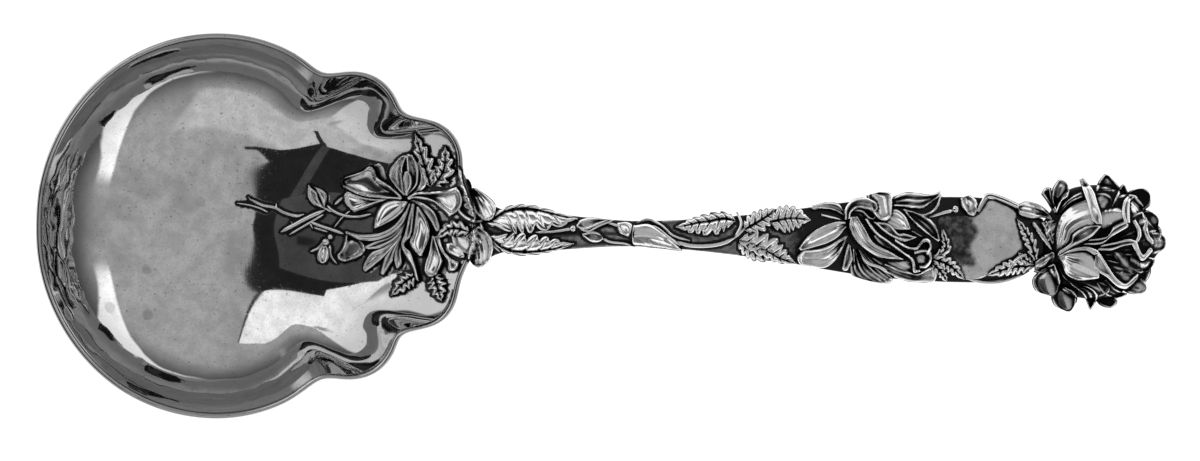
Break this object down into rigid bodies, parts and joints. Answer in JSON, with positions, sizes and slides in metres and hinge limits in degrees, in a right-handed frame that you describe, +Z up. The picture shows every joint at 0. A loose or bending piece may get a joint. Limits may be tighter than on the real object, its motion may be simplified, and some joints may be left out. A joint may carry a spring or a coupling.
{
  "type": "serving spoon",
  "caption": "Silver serving spoon with a wide lobed bowl and an arched handle of soldered leaves, buds and roses, ending in a rose in the round.",
  "frame": {"origin": "centre of the flat foot under the bowl, on the table", "axes": "+X from the bowl to the rose at the handle's end, +Y to the left of that, +Z up out of the bowl"},
  "size_m": [0.2298, 0.0788, 0.0268],
  "materials": {
    "polished_silver": "polished silver, fine scratches and faint tarnish",
    "oxidised_silver": "cast silver, bright on the high places and blackened in the recesses"
  },
  "bodies": {
    "root": {"bowl": "polished_silver", "bowl_leaf_lower": "oxidised_silver", "bowl_leaf_lower_heel": "oxidised_silver", "bowl_leaf_side": "oxidised_silver", "bowl_leaf_upper": "oxidised_silver", "bowl_leaf_upper_heel": "oxidised_silver", "bowl_rose": "oxidised_silver", "bowl_rose_heart": "oxidised_silver", "bud_bell": "oxidised_silver", "bud_petal": "oxidised_silver", "bud_upper": "oxidised_silver", "cartouche_bud": "oxidised_silver", "cartouche_leaf_base": "oxidised_silver", "cartouche_leaf_low": "oxidised_silver", "cartouche_leaf_right": "oxidised_silver", "cartouche_plaque": "polished_silver", "cartouche_scroll": "oxidised_silver", "cartouche_sprig_left": "oxidised_silver", "cartouche_sprig_upper": "oxidised_silver", "handle_rose": "oxidised_silver", "handle_rose_heart": "oxidised_silver", "heel_bud": "oxidised_silver", "heel_curl": "oxidised_silver", "heel_leaf": "oxidised_silver", "neck_curl_lower": "oxidised_silver", "neck_curl_upper": "oxidised_silver", "neck_leaf_lower": "oxidised_silver", "neck_leaf_upper": "oxidised_silver", "neck_stem": "oxidised_silver", "rose_heart": "oxidised_silver", "rose_inner_petal_1": "oxidised_silver", "rose_inner_petal_2": "oxidised_silver", "rose_inner_petal_3": "oxidised_silver", "rose_middle_petal_1": "oxidised_silver", "rose_middle_petal_2": "oxidised_silver", "rose_middle_petal_3": "oxidised_silver", "rose_middle_petal_4": "oxidised_silver", "rose_middle_petal_5": "oxidised_silver", "rose_outer_petal_1": "oxidised_silver", "rose_outer_petal_2": "oxidised_silver", "rose_outer_petal_3": "oxidised_silver", "rose_outer_petal_4": "oxidised_silver", "rose_outer_petal_5": "oxidised_silver", "rose_sepal_1": "oxidised_silver", "rose_sepal_2": "oxidised_silver", "rose_sepal_3": "oxidised_silver", "rose_sepal_4": "oxidised_silver", "shank": "polished_silver", "shank_bud": "oxidised_silver", "shank_leaf_lower": "oxidised_silver", "shank_leaf_middle": "oxidised_silver", "shank_leaf_tip": "oxidised_silver", "shank_leaf_upper": "oxidised_silver", "shank_sheath": "oxidised_silver", "shank_vine": "oxidised_silver", "shank_vine_branch": "oxidised_silver", "twig_far": "oxidised_silver", "twig_lower": "oxidised_silver", "twig_thorned": "oxidised_silver", "twig_upper": "oxidised_silver"}
  },
  "joints": []
}
